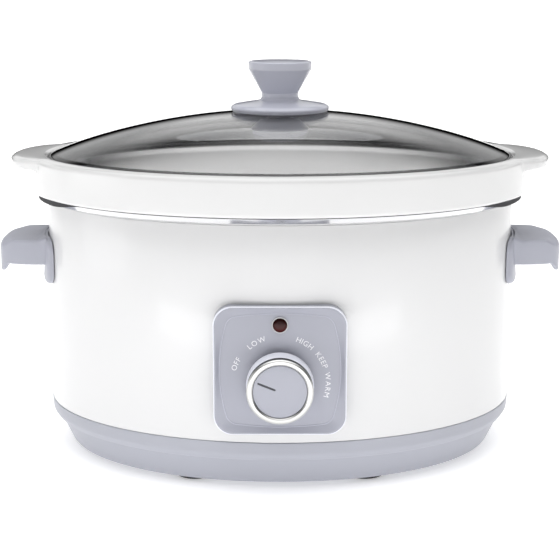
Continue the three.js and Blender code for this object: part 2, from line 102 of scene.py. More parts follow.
# ---------------------------------------------------------------- camera
def set_camera():
    """The view from the front, a little above the object and dipped towards it."""
    camera = bpy.data.objects.new("camera", bpy.data.cameras.new("camera"))
    bpy.context.scene.collection.objects.link(camera)
    camera.location = (0, HOUSING_Y * MM - CAMERA_AWAY, CAMERA_HEIGHT)
    camera.rotation_euler = (math.radians(90 - CAMERA_DIP), 0, 0)
    camera.data.sensor_width = 36
    camera.data.lens = CAMERA_LENS
    camera.data.clip_start = 0.05
    bpy.context.scene.camera = camera


# ---------------------------------------------------------------- shader maths
class Term:
    """A number or colour inside a material; arithmetic on it adds Math nodes."""

    def __init__(self, finish, socket):
        self.finish, self.socket = finish, socket

    def _math(self, operation, *values):
        return self.finish.node("ShaderNodeMath", {"operation": operation}, *values)

    def __add__(self, other):
        return self._math("ADD", self, other)

    def __sub__(self, other):
        return self._math("SUBTRACT", self, other)

    def __rsub__(self, other):
        return self._math("SUBTRACT", other, self)

    def __mul__(self, other):
        return self._math("MULTIPLY", self, other)

    def __pow__(self, other):
        return self._math("POWER", self, other)

    __radd__, __rmul__ = __add__, __mul__

    def between(self, low, high):
        """0 below low, 1 above high, and smooth in between."""
        settings = {"interpolation_type": "SMOOTHSTEP"}
        return self.finish.node("ShaderNodeMapRange", settings, self, low, high, 0.0, 1.0)


class Graph:
    """A node tree that terms add their nodes to."""

    def __init__(self, tree):
        self.tree = tree

    def fill(self, socket, value):
        """Links a term to a socket, or sets a constant on it. A colour comes without its alpha of 1."""
        if isinstance(value, Term):
            self.tree.links.new(value.socket, socket)
        elif socket.type == "RGBA":
            socket.default_value = (*value, 1)
        else:
            socket.default_value = value

    def node(self, kind, settings, *values, **named):
        """Adds a node: its settings first, then its sockets by place, where None leaves one as it is, or by
        name. Gives as a term the output that the settings name under "out", or else the first."""
        node = self.tree.nodes.new(kind)
        for key, value in settings.items():
            if key != "out":
                setattr(node, key, value)
        for place, value in enumerate(values):
            if value is not None:
                self.fill(node.inputs[place], value)
        for name, value in named.items():
            self.fill(node.inputs[name.replace("_", " ")], value)
        return Term(self, node.outputs[settings.get("out", 0)])


class Finish(Graph):
    """A material on one Principled shader. Constants sit on the shader's own sockets."""

    def __init__(self, name, **constants):
        self.material = bpy.data.materials.new(name)
        self.material.use_nodes = True
        super().__init__(self.material.node_tree)
        self.shader = self.tree.nodes["Principled BSDF"]
        for socket, value in constants.items():
            self.fill(self.shader.inputs[socket.replace("_", " ")], value)
        self.object_place = self.node("ShaderNodeTexCoord", {"out": "Object"})

    def feed(self, socket, term):
        """Links a term to one of the shader's sockets."""
        self.fill(self.shader.inputs[socket], term)
        return self

    def noise(self, scale, detail=2.0, stretch=(1, 1, 1), roughness=0.5):
        """Even noise in object space, in features per metre, drawn out along an axis by a scale below 1."""
        place = self.node("ShaderNodeMapping", {}, Vector=self.object_place, Scale=stretch)
        return self.node("ShaderNodeTexNoise", {"out": "Fac"}, Vector=place, Scale=scale, Detail=detail,
                         Roughness=roughness)

    def axis(self, name):
        """X, Y or Z of the point on the object, in metres."""
        return self.node("ShaderNodeSeparateXYZ", {"out": name}, self.object_place)

    def oval_share(self, long_half, short_half):
        """sqrt((x / a)^2 + (y / b)^2) about the housing's middle: 1 on the oval of half-widths a, b."""
        x = self.axis("X") * (1 / (long_half * MM))
        y = (self.axis("Y") - HOUSING_Y * MM) * (1 / (short_half * MM))
        return (x * x + y * y) ** 0.5

    def mix(self, factor, a, b):
        """Colour a where factor is 0 and colour b where it is 1: sockets 6 and 7 of a Mix node."""
        return self.node("ShaderNodeMix", {"data_type": "RGBA", "out": 2}, factor, *[None] * 5, a, b)

    def bump(self, height, strength, depth=0.0005):
        """Relief from a height term; depth is the real height in metres of a full step."""
        relief = self.node("ShaderNodeBump", {"out": "Normal"}, Height=height, Strength=strength,
                           Distance=depth)
        return self.feed("Normal", relief)


def varied(finish, colour, amount, scale):
    """Feeds a base colour that drifts a little over the surface."""
    dark = tuple(c * (1 - amount) for c in colour)
    return finish.feed("Base Color", finish.mix(finish.noise(scale), dark, colour))


# ---------------------------------------------------------------- finishes
def white_enamel():
    """Stove enamel: nearly even white, a faint orange peel, and a smooth glassy coat."""
    f = Finish("white_enamel", Roughness=0.3, Coat_Weight=0.6, Coat_Roughness=0.08)
    varied(f, (0.76, 0.76, 0.765), 0.012, 9)
    f.feed("Roughness", f.noise(30) * 0.06 + 0.26)
    return f.bump(f.noise(520, 3), 0.05, 0.0002)


def glazed_stoneware():
    """White glaze over stoneware: soft pooling, a few pinholes, a lighter tone inside the oval of the rim's
    ledge that is painted light for the inside of the pot, and a bare ring where the crock stands."""
    f = Finish("glazed_stoneware", Roughness=0.14, Coat_Weight=0.5, Coat_Roughness=0.04)
    height = f.axis("Z")
    bare = 1 - height.between(0.0612, 0.0622)
    # Painted light: the same glaze is lighter inside the ledge's oval, above 64 to 70 mm, for the light inside
    # the pot.
    inside = 1 - f.oval_share(LEDGE, LEDGE_SHORT).between(0.99, 1.01)
    outer = f.mix(f.noise(14), (0.725, 0.725, 0.725), (0.755, 0.755, 0.755))
    glaze = f.mix(inside * height.between(0.064, 0.070), outer, (0.90, 0.90, 0.90))
    f.feed("Base Color", f.mix(bare, glaze, (0.62, 0.56, 0.47)))
    f.feed("Roughness", f.noise(24) * 0.05 + 0.12 + bare * 0.6)
    pinholes = f.noise(900, 2).between(0.74, 0.8)
    return f.bump(f.noise(38, 2) - pinholes * 0.12, 0.10, 0.0006)


def moulded_plastic(name, colour, roughness=0.36, grain=0.10):
    """Satin injection-moulded plastic: a fine spark texture and a slow drift of tone."""
    f = Finish(name, Roughness=roughness, Specular_IOR_Level=0.5)
    varied(f, colour, 0.035, 22)
    f.feed("Roughness", f.noise(60, 3) * 0.10 + (roughness - 0.05))
    return f.bump(f.noise(2600, 2) + f.noise(700, 2) * 0.5, grain, 0.00012)


def polished_steel(name="polished_steel", colour=(0.80, 0.80, 0.81), roughness=0.10):
    """Rolled and buffed steel: hairlines along the rim and light handling marks."""
    f = Finish(name, Metallic=1.0, Roughness=roughness)
    varied(f, colour, 0.05, 12)
    hairlines = f.noise(1500, 3, stretch=(0.03, 0.03, 1.0))
    f.feed("Roughness", hairlines * 0.10 + (roughness - 0.03))
    return f.bump(hairlines, 0.06, 0.0001)


def drawn_aluminium():
    """The well's drawn sheet: brushed round the walls with faint heat staining low down."""
    f = Finish("drawn_aluminium", Metallic=1.0, Roughness=0.34)
    stain = (1 - f.axis("Z").between(0.06, 0.14)) * f.noise(26, 3)
    f.feed("Base Color", f.mix(stain, (0.68, 0.69, 0.70), (0.56, 0.52, 0.46)))
    brushed = f.noise(900, 3, stretch=(0.05, 0.05, 1.0))
    f.feed("Roughness", brushed * 0.2 + 0.26)
    return f.bump(brushed, 0.15, 0.0002)


def zinc_plate(name, colour, roughness=0.4):
    """Small plated or stamped parts: cloudy zinc with a fine tumbled texture."""
    f = Finish(name, Metallic=0.9, Roughness=roughness)
    varied(f, colour, 0.18, 180)
    f.feed("Roughness", f.noise(320, 3) * 0.2 + (roughness - 0.1))
    return f.bump(f.noise(1400, 2), 0.2, 0.0001)


def clear_glass():
    """Tempered lid glass: clear, with a trace of ripple. Its base colour is painted dark where one looks along
    it, more so near its rim, and its edge, past 0.98 of the oval share, is painted near black: painted shade
    and painted dark reflections that stand in for the dark lines and patches thick glass shows at its edge and
    steep ends."""
    f = Finish("lid_glass_clear", Roughness=0.0, IOR=1.5, Transmission_Weight=1.0)
    share = f.oval_share(LID_RIM, LID_RIM_SHORT)
    # Painted shade: a near-black band on the rim's edge, and a dark tone where the glass is seen slanted.
    edge = share.between(0.976, 0.984)
    facing = f.node("ShaderNodeLayerWeight", {"out": "Facing"}, Blend=0.5)
    # Painted dark reflection: the share term darkens slanted views more towards the rim's long ends.
    painted_slant_shade = (facing + share * share * 0.32).between(0.77, 0.94)
    through = f.mix(painted_slant_shade, (1.0, 1.0, 1.0), (0.06, 0.062, 0.065))
    f.feed("Base Color", f.mix(edge, through, (0.02, 0.02, 0.022)))
    return f.bump(f.noise(9, 1), 0.05, 0.0008)


def plain_rubber():
    """Matt black rubber with a dusty bloom."""
    f = Finish("foot_rubber_black", Roughness=0.75)
    varied(f, (0.045, 0.045, 0.05), 0.4, 60)
    f.feed("Roughness", f.noise(90, 3) * 0.15 + 0.68)
    return f.bump(f.noise(1800, 2), 0.2, 0.0001)


def pilot_lens():
    """The lamp's dark red lens: deep and glossy, and lighter red low down than high up."""
    f = Finish("pilot_lens_red", Roughness=0.12, Specular_IOR_Level=0.15)
    upper = f.axis("Z").between((LAMP_Z - 4) * MM, (LAMP_Z + 4) * MM)
    f.feed("Base Color", f.mix(upper, (0.060, 0.008, 0.008), (0.012, 0.002, 0.002)))
    return f.bump(f.noise(300, 1), 0.03, 0.0001)


def ink(name, colour):
    """Printed or inlaid ink: satin, with a faint mottle."""
    f = Finish(name, Roughness=0.5)
    varied(f, colour, 0.06, 200)
    return f.bump(f.noise(2200, 2), 0.08, 0.00005)


def fired_ceramic():
    """Unglazed steatite: a matt cream body with a fine grain."""
    f = Finish("fired_ceramic", Roughness=0.6)
    varied(f, (0.80, 0.76, 0.68), 0.1, 90)
    return f.bump(f.noise(900, 3), 0.25, 0.0002)


def woven_sleeve():
    """Glass-fibre wire sleeve: a fine over-and-under weave."""
    f = Finish("woven_sleeve", Roughness=0.7)
    weave = f.node("ShaderNodeTexWave", {"out": "Fac", "bands_direction": "DIAGONAL"},
                   Vector=f.object_place, Scale=420.0, Distortion=0.4)
    f.feed("Base Color", f.mix(weave, (0.62, 0.62, 0.60), (0.82, 0.82, 0.80)))
    return f.bump(weave, 0.4, 0.0003)


GREY = (0.405, 0.413, 0.475)
# The knob's grey: the grey moulding painted lighter, as painted light on the knob's top-facing surfaces.
KNOB_GREY_PAINTED_LIGHT = (0.54, 0.55, 0.63)
# The base's grey: the grey moulding painted lighter, as painted light on the base, which faces down and gets
# less light.
BASE_GREY_PAINTED_LIGHT = (0.43, 0.44, 0.495)
PANEL_GREY = (0.385, 0.392, 0.452)
PALE = (0.90, 0.91, 0.99)
FINISHES = {
    "white_paint": white_enamel(),
    "stoneware": glazed_stoneware(),
    "grey_plastic": moulded_plastic("grey_moulding", GREY),
    "pale_plastic": moulded_plastic("pale_moulding", PALE, 0.3, 0.06),
    "trim_steel": polished_steel(),
    "well_metal": drawn_aluminium(),
    "dial_trim": polished_steel("pearl_plating", (0.55, 0.55, 0.54), 0.28),
    "pointer_ink": ink("pointer_inlay", (0.05, 0.052, 0.065)),
    "lamp_red": pilot_lens(),
    "lid_glass": clear_glass(),
    "foot_rubber": plain_rubber(),
    "clear_silicone": moulded_plastic("silicone", (0.62, 0.62, 0.63), 0.5, 0.05),
    "fastener_steel": zinc_plate("zinc_plate", (0.60, 0.61, 0.62)),
    "heater_steel": zinc_plate("heater_jacket", (0.38, 0.36, 0.33), 0.5),
    "ceramic_body": fired_ceramic(),
    "switch_phenolic": moulded_plastic("black_phenolic", (0.02, 0.02, 0.022), 0.45),
    "wire_sleeve": woven_sleeve(),
}
LABEL_INK = ink("label_white", (0.90, 0.90, 0.92))


# ---------------------------------------------------------------- surfaces
def filled_mesh(name, points, polygons):
    """A mesh from lists of corner numbers and points in millimetres about the housing's middle."""
    mesh = bpy.data.meshes.new(name)
    mesh.from_pydata(((np.asarray(points, float) + (0, HOUSING_Y, 0)) * MM).tolist(), [], polygons)
    return mesh


def make_piece(name, points, polygons, slot, body="root", replaces=(), sharp=SHARP_EDGE,
               finish=None):
    """A finished object at the origin with its material, its body and the CAD nodes that it stands for."""
    mesh = filled_mesh(name, points, polygons)
    mesh.validate()
    mesh.shade_smooth()
    mesh.set_sharp_from_angle(angle=math.radians(sharp))
    piece = bpy.data.objects.new(name, mesh)
    bpy.context.scene.collection.objects.link(piece)
    mesh.materials.append((finish or FINISHES[slot]).material)
    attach(piece, body)
    if replaces:
        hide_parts(*replaces)
    return piece


def skin(rows, ends="loop"):
    """Faces over a grid of points, rows by columns, whose columns close round. With ends "loop" the last
    row joins the first, and with "poles" the first and last rows are one point each."""
    count, steps = rows.shape[:2]
    grid = np.arange(count * steps).reshape(count, steps)
    if ends == "poles":
        grid = np.clip(grid - (steps - 1), 0, (count - 2) * steps + 1)
        points = np.concatenate([rows[0, :1], rows[1:-1].reshape(-1, 3), rows[-1, :1]])
        lower, upper = grid[:-1], grid[1:]
    else:
        points = rows.reshape(-1, 3)
        lower, upper = grid, np.roll(grid, -1, 0)
    a, b = lower, np.roll(lower, -1, 1)
    c, d = np.roll(upper, -1, 1), upper
    quads = np.stack([a, b, c, d], -1).reshape(-1, 4)
    if ends == "poles":
        below = quads[:steps][:, [0, 2, 3]]
        above = quads[-steps:][:, [0, 1, 2]]
        return points, [*below.tolist(), *quads[steps:-steps].tolist(), *above.tolist()]
    return points, quads.tolist()


def rounded(corners, closed=False, arc_steps=6):
    """A profile through corners given as (out, up, fillet radius). A corner with a radius becomes an arc
    that touches both of its sides: it starts and ends radius / tan(half the corner's angle) away."""
    corners = [np.array(c, float) for c in corners]
    made = []
    for i, corner in enumerate(corners):
        here, radius = corner[:2], corner[2] if len(corner) > 2 else 0.0
        at_end = not closed and i in (0, len(corners) - 1)
        if at_end or radius <= 0:
            made.append(here)
            continue
        before = corners[i - 1][:2] - here
        after = corners[(i + 1) % len(corners)][:2] - here
        before_length, after_length = np.linalg.norm(before), np.linalg.norm(after)
        before, after = before / before_length, after / after_length
        half = math.acos(np.clip(before @ after, -1, 1)) / 2
        reach = min(radius / math.tan(half), before_length * 0.49, after_length * 0.49)
        radius = reach * math.tan(half)
        centre = here + (before + after) / np.linalg.norm(before + after) * (radius / math.sin(half))
        start, end = here + before * reach - centre, here + after * reach - centre
        sweep = math.atan2(start[0] * end[1] - start[1] * end[0], start @ end)
        for t in np.linspace(0, 1, arc_steps + 1):
            turn = sweep * t
            spun = np.array([start[0] * math.cos(turn) - start[1] * math.sin(turn),
                             start[0] * math.sin(turn) + start[1] * math.cos(turn)])
            made.append(centre + spun)
    return np.array(made)


def short_half(long_half, even=INNER_OVAL):
    """An oval's short half-width: a fixed difference below the long one, or in one ratio inside even."""
    return np.where(long_half >= even, long_half - OVAL_DIFFERENCE,
                    long_half * (even - OVAL_DIFFERENCE) / even)


def angles(steps=OVAL_STEPS):
    """Even angles once round, without the last."""
    return np.arange(steps) * 2 * math.pi / steps


def oval_rows(profile, even=INNER_OVAL, turn=None):
    """Each profile point (a, z) carried round its oval: x = a cos t, y = b sin t."""
    turn = angles() if turn is None else turn
    a, z = profile[:, :1], profile[:, 1:]
    b = short_half(a, even)
    return np.stack([a * np.cos(turn), b * np.sin(turn), z + 0 * turn], -1)


def round_rows(profile, x=0.0, y=0.0, steps=ROUND_STEPS):
    """Each profile point (r, z) carried round a circle about the upright line through (x, y)."""
    turn = angles(steps)
    r, z = profile[:, :1], profile[:, 1:]
    return np.stack([x + r * np.cos(turn), y + r * np.sin(turn), z + 0 * turn], -1)


def to_front(rows, z):
    """Turns upright rows to face the front: height becomes distance forward, and z is the axis's height."""
    return np.stack([rows[..., 0], -rows[..., 2], rows[..., 1] + z], -1)


def to_back(rows, z):
    """Turns upright rows to face the back in the same way."""
    return np.stack([-rows[..., 0], rows[..., 2], rows[..., 1] + z], -1)


def superellipse(turn, half_x, half_y, power):
    """x and y of |x / half_x|^power + |y / half_y|^power = 1 at each angle."""
    c, s = np.cos(turn), np.sin(turn)
    return half_x * np.sign(c) * np.abs(c) ** (2 / power), half_y * np.sign(s) * np.abs(s) ** (2 / power)


def smooth_step(value, low, high):
    """0 below low, 1 above high, and 3 t^2 - 2 t^3 in between."""
    t = np.clip((value - low) / (high - low), 0, 1)
    return t * t * (3 - 2 * t)


def carve(piece, *cutters):
    """Takes each cutter, a closed (points, faces) pair in millimetres, out of a piece."""
    for points, polygons in cutters:
        tool = bpy.data.objects.new("cutter", filled_mesh("cutter", points, polygons))
        bpy.context.scene.collection.objects.link(tool)
        step = piece.modifiers.new("cut", "BOOLEAN")
        step.operation, step.solver, step.object = "DIFFERENCE", "EXACT", tool
        bpy.context.view_layer.update()
        evaluated = piece.evaluated_get(bpy.context.evaluated_depsgraph_get())
        cut_mesh = bpy.data.meshes.new_from_object(evaluated)
        piece.modifiers.clear()
        piece.data = cut_mesh
        bpy.data.objects.remove(tool)
    piece.data.set_sharp_from_angle(angle=math.radians(SHARP_EDGE))
    return piece


def cylinder(radius, low, high, steps=48):
    """A closed round bar about the upright axis, as rows."""
    return round_rows(np.array([[0, low], [radius, low], [radius, high], [0, high]]), steps=steps)


def bar(half_x, half_y, low, high, power=8.0, x=0.0, y=0.0):
    """A closed upright bar whose section is a superellipse, so its corners are round."""
    turn = angles(64)
    px, py = superellipse(turn, half_x, half_y, power)
    return np.stack([np.stack([x + k * px, y + k * py, np.full_like(px, h)], -1)
                     for k, h in ((0, low), (1, low), (1, high), (0, high))])


# ---------------------------------------------------------------- the housing
def make_shell():
    """The painted sheet: one wall that leans in a little, with its lower and upper edges turned over."""
    profile = rounded([(SHELL_LOW - 1, SHELL_BOTTOM, 0.4), (SHELL_LOW, SHELL_BOTTOM, 0.5),
                       (SHELL_HIGH, SHELL_TOP, 0.5), (SHELL_HIGH - 1, SHELL_TOP, 0.4)], True, 3)
    wall = make_piece("shell_enamelled", *skin(oval_rows(profile)), "white_paint", replaces=["outer_shell"])
    window = to_front(bar(31, 40, 100, 150), PANEL_Z)
    inlet = to_back(cylinder(8.4, 110, 140), INLET_Z)
    carve(wall, skin(window, "poles"), skin(inlet, "poles"))


def make_base():
    """The grey base: a cone that tapers to the floor, a crease, and a round bead that meets the shell. Its
    underside has vent slots, a bolt hole and four holes for the feet."""
    profile = rounded([
        (0, 3.8), (159.4, 3.8, 1.5), (161.2, 6.0, 3), (169.2, 23.7, 0.35), (169.7, 24.1, 0.2),
        (171.6, 24.8, 3), (174.8, 29.6, 5), (175.3, 37.0, 2.5), (175.1, 38.1, 0.5), (173.6, 38.1, 0.2),
        (173.6, 42, 0.5), (171.7, 42, 0.5), (171.7, 33, 2), (166.8, 26.6, 2), (158.5, 8.4, 2),
        (156.5, 6.3, 1), (0, 6.3),
    ])
    # The base's grey is painted lighter than the other grey mouldings: painted light.
    base = make_piece("base_moulding", *skin(oval_rows(profile), "poles"), "grey_plastic",
                      replaces=["base_pan"], finish=moulded_plastic("base_moulding", BASE_GREY_PAINTED_LIGHT))
    through = 12
    vents = [bar(2.2, 15, 0, through, 6, 16 * i) for i in (-3, -2, -1, 1, 2, 3)]
    bolt = [cylinder(3.4, 0, through)]
    feet = [cylinder(3.8, 0, through) + (sx * FOOT_X, sy * FOOT_Y, 0) for sx in (-1, 1) for sy in (-1, 1)]
    carve(base, *[skin(rows, "poles") for rows in vents + bolt + feet])


def make_feet():
    """Rubber feet: a flat pad with a rounded tread edge on a stem that snaps through the base."""
    profile = rounded([(0, 0), (12.5, 0, 0.5), (15, 0.7, 1), (14.6, 3.5, 0.7), (3.4, 3.5, 0.2),
                       (3.4, 6.6, 0.2), (4.6, 6.6, 0.4), (3.2, 9.2, 0.6), (0, 9.3)])
    for end, sy in (("front", -1), ("rear", 1)):
        for side, sx in (("left", -1), ("right", 1)):
            rows = round_rows(profile, sx * FOOT_X, sy * FOOT_Y)
            make_piece(f"foot_pad_{end}_{side}", *skin(rows, "poles"), "foot_rubber",
                       replaces=[f"foot_{end}_{side}"])


def make_trim_ring():
    """The rolled steel rim: a flared band outside, a flat seat for the crock, and a lip in the well."""
    profile = rounded([
        (173.0, 189.35, 0.2), (174.6, 189.35, 0.5), (176.2, 190.6, 1.2), (178.4, 193.4, 1.2),
        (179.2, 194.4, 0.5), (178.9, 195, 0.4), (162.4, 195, 1.2), (162.4, 186, 0.2), (163.3, 186, 0.2),
        (163.3, 193.8, 0.4), (177.0, 193.8, 0.4),
    ], True, 5)
    make_piece("trim_ring_steel", *skin(oval_rows(profile)), "trim_steel", replaces=["rim_trim_ring"])


def make_rim_painted_shadow_strip():
    """A dark strip between the rim and the crock's collar: painted shadow, a dark thing set where the gap
    under the collar is in shade, deepest at the two ends. Its lower edge hangs by a drop of 0.9 mm, and of 4.5
    mm at the two ends: the drop grows by a smooth step on |cos t|."""
    drop = 0.9 + 3.6 * smooth_step(np.abs(np.cos(angles())), 0.76, 0.9)
    inside, outside, top = 178.9, 180.1, 195.2
    rows = oval_rows(np.array([[inside, top], [outside, top], [outside, top], [inside, top]]))
    rows[2:, :, 2] -= drop
    make_piece("rim_painted_shadow_strip", *skin(rows[::-1]), "foot_rubber")


def make_well():
    """The heating well: a deep drawn oval pan with a round floor edge and a stiffening step in its floor."""
    profile = rounded([
        (0, 52), (120, 52, 1), (124, 53.2, 1), (145, 53.2, 1), (149, 52.6, 2), (159, 58, 9),
        (165, 193.4, 0.3), (164, 193.4, 0.3), (158, 58.6, 8), (148.8, 53.8, 2), (145, 54.2, 1),
        (124, 54.2, 1), (120, 53, 1), (0, 53),
    ])
    make_piece("well_drawn", *skin(oval_rows(profile), "poles"), "well_metal", replaces=["heating_well"])


def make_inlet_bush():
    """The supply cord's bush: a flanged rubber grommet through the back of the shell."""
    face = SHELL_LOW - OVAL_DIFFERENCE + 0.4
    profile = rounded([(4, 122, 0.5), (9.3, 122, 0.8), (9.3, 126.6, 0.4), (8, 127.0, 0.2), (8, face, 0.1),
                       (11, face, 0.3), (10.6, 132, 1.2), (7, 133, 1), (4.4, 133, 0.5), (4, 131.5, 0.5)],
                      True, 4)
    make_piece("inlet_grommet", *skin(to_back(round_rows(profile), INLET_Z)), "foot_rubber",
               replaces=["cord_inlet_bush"])


# ---------------------------------------------------------------- the side handles
def plate_wrap(y, height):
    """How far out the backing plate's surface is at each y: an oval grown by height."""
    a = PLATE_INSIDE + height
    return a * np.sqrt(np.clip(1 - (y / (a - OVAL_DIFFERENCE)) ** 2, 0, 1))


def rounded_box(half_x, half_y, corner, steps):
    """Points evenly round a rectangle with quarter-circle corners, from the middle of the right side."""
    side_x, side_y, arc = half_x - corner, half_y - corner, corner * math.pi / 2
    lengths = [side_y, arc, side_x * 2, arc, side_y * 2, arc, side_x * 2, arc, side_y]
    ends = np.concatenate([[0], np.cumsum(lengths)])
    along = np.arange(steps) / steps * ends[-1]
    leg = np.clip(np.searchsorted(ends, along, side="right") - 1, 0, 8)
    t = along - ends[leg]
    quarter = t / corner
    legs = [leg == number for number in range(9)]
    x = np.select(legs, [
        half_x + 0 * t, side_x + corner * np.cos(quarter), side_x - t, -side_x - corner * np.sin(quarter),
        -half_x + 0 * t, -side_x - corner * np.cos(quarter), -side_x + t, side_x + corner * np.sin(quarter),
        half_x + 0 * t])
    y = np.select(legs, [
        t, side_y + corner * np.sin(quarter), half_y + 0 * t, side_y + corner * np.cos(quarter), side_y - t,
        -side_y - corner * np.sin(quarter), -half_y + 0 * t, -side_y - corner * np.cos(quarter), -side_y + t])
    return np.stack([x, y], -1)


def handle_plate_rows(steps=160):
    """The backing plate: a rounded oblong bent round the shell, with a soft outer edge and a flat back."""
    outline = rounded_box(PLATE_HALF_Y, PLATE_HALF_Z, 9, steps)
    profile = [(0, 0), (0.02, 0), (0.985, 0), (1, 0.3), (1, 1.6), (0.985, 2.9), (0.955, 3.7), (0.9, 4.1),
               (0.8, PLATE_THICK), (0.02, PLATE_THICK), (0, PLATE_THICK)]
    rows = []
    for share, height in profile:
        y, z = outline[:, 0] * share, outline[:, 1] * share + PLATE_Z
        rows.append(np.stack([plate_wrap(y, height), y, z], -1))
    return np.stack(rows)


def handle_cup(steps=120):
    """The cup: one wall profile carried round a squarish half outline and drawn in to the middle line.
    The outline inset by d is (root + (reach - d) c, (half - d) s), where c and s are superellipse cosines.
    The wall hangs lower and its top edge is rounder at the far end, and the cup flares at its plate."""
    squareness = 2 / 3.6
    turn = np.linspace(-math.pi / 2, math.pi / 2, steps + 1)
    c = np.abs(np.cos(turn)) ** squareness
    s = np.sign(turn) * np.abs(np.sin(turn)) ** squareness
    reach = HANDLE_END - HANDLE_ROOT
    outer_x = HANDLE_ROOT + reach * c
    low = 142.0 - 6.9 * smooth_step(outer_x, 201, 208.8)
    edge = 2.2 + 5.5 * smooth_step(outer_x, 195, 207)
    thick, lip, fillet, top = 3.0, 1.5, 2.0, HANDLE_TOP
    quarter = np.linspace(0, math.pi / 2, 9)
    half_turn = np.linspace(0, math.pi, 11)
    rows = []

    def put(inset, height):
        x = HANDLE_ROOT + (reach - inset) * c
        y = (HANDLE_HALF - inset) * s
        rows.append(np.stack([np.maximum(x, plate_wrap(y, 2.2)), y, height + 0 * c], -1))

    for share in (1, 0.85, 0.7, 0.55, 0.4):
        put(HANDLE_HALF * share + edge * (1 - share) * 0.9, top)
    for a in quarter:
        put(edge * (1 - np.sin(a)), top - edge * (1 - np.cos(a)))
    put(0, (top - edge) * 0.5 + (low + lip) * 0.5)
    outside_rows = len(rows)
    for a in half_turn:
        put(thick / 2 * (1 - np.cos(a)), low + lip - lip * np.sin(a))
    for a in quarter:
        put(thick + fillet * (1 - np.cos(a)), (top - thick - fillet) + fillet * np.sin(a))
    for share in (0.35, 0.7, 1):
        put(HANDLE_HALF * share + (thick + fillet) * (1 - share), top - thick)
    grid = np.stack(rows)
    # The flare: within 5 mm of the plate the outside swells, by up to 3 mm sideways and 2.6 mm up.
    swell = np.clip(1 - (grid[..., 0] - plate_wrap(grid[..., 1], PLATE_THICK)) / 5.0, 0, 1) ** 2
    swell[outside_rows:] = 0
    grid[..., 1] *= 1 + swell * 3.0 / HANDLE_HALF
    grid[..., 2] += swell * 2.6 * (grid[..., 2] > 150)
    return grid


def cup_faces(grid):
    """Faces of a cup grid: a sheet, plus one flat end on each side where it meets the plate."""
    count, steps = grid.shape[:2]
    number = np.arange(count * steps).reshape(count, steps)
    quads = np.stack([number[:-1, :-1], number[:-1, 1:], number[1:, 1:], number[1:, :-1]], -1).reshape(-1, 4)
    ends = [number[:, 0].tolist(), number[::-1, -1].tolist()]
    return grid.reshape(-1, 3), [q[::-1] for q in quads.tolist()] + [e[::-1] for e in ends]


def weld(points, polygons, gap=0.01):
    """Merges points that coincide, in millimetres, and drops faces that lose their area."""
    keys = np.round(np.asarray(points) / gap).astype(np.int64)
    _, first, back = np.unique(keys, axis=0, return_index=True, return_inverse=True)
    back = back.reshape(-1)
    kept = []
    for polygon in polygons:
        corners = [int(back[i]) for i in polygon]
        slim = [v for i, v in enumerate(corners) if v != corners[i - 1]]
        if len(set(slim)) >= 3:
            kept.append(slim)
    return np.asarray(points)[first], kept


def make_handles():
    """Both handles: each a backing plate, a cup and the two bosses that its screws run into. The left one is
    the right one turned half round the upright axis."""
    plate_points, plate_faces = skin(handle_plate_rows(), "poles")
    cup_points, cup_polygons = weld(*cup_faces(handle_cup()))
    for side, sign in (("right", 1), ("left", -1)):
        spin = np.array([sign, sign, 1])
        make_piece(f"handle_plate_{side}", plate_points * spin, plate_faces, "grey_plastic",
                   replaces=[f"handle_{side}"])
        make_piece(f"handle_cup_{side}", cup_points * spin, cup_polygons, "grey_plastic", sharp=35)
        for end, y in (("front", -25), ("rear", 25)):
            boss = round_rows(rounded([(0, 175), (4.5, 175), (4.5, 190, 1), (0, 190)]), steps=32)
            rows = np.stack([boss[..., 2], boss[..., 0] + y, boss[..., 1] + SCREW_Z], -1)
            points, faces = skin(rows, "poles")
            make_piece(f"handle_boss_{side}_{end}", points * spin, faces, "grey_plastic")


# ---------------------------------------------------------------- the control panel and dial
def bowed_box(half_x, half_y, corner, bow, steps):
    """A rounded box whose sides bow out in their middles by bow[0] and whose top and bottom bow by bow[1]:
    each coordinate grows with 1 - (the other over its half-width) squared."""
    points = rounded_box(half_x, half_y, corner, steps)
    x, y = points[:, 0], points[:, 1]
    wide = x * (1 + bow[0] / half_x * (1 - (y / half_y) ** 2))
    return np.stack([wide, y * (1 + bow[1] / half_y * (1 - (x / half_x) ** 2))], -1)


def shell_front(x):
    """How far forward the panel's back edge stands at each x, just off the shell's oval."""
    return 128.9 * np.sqrt(1 - (x / 174.4) ** 2) + 0.5


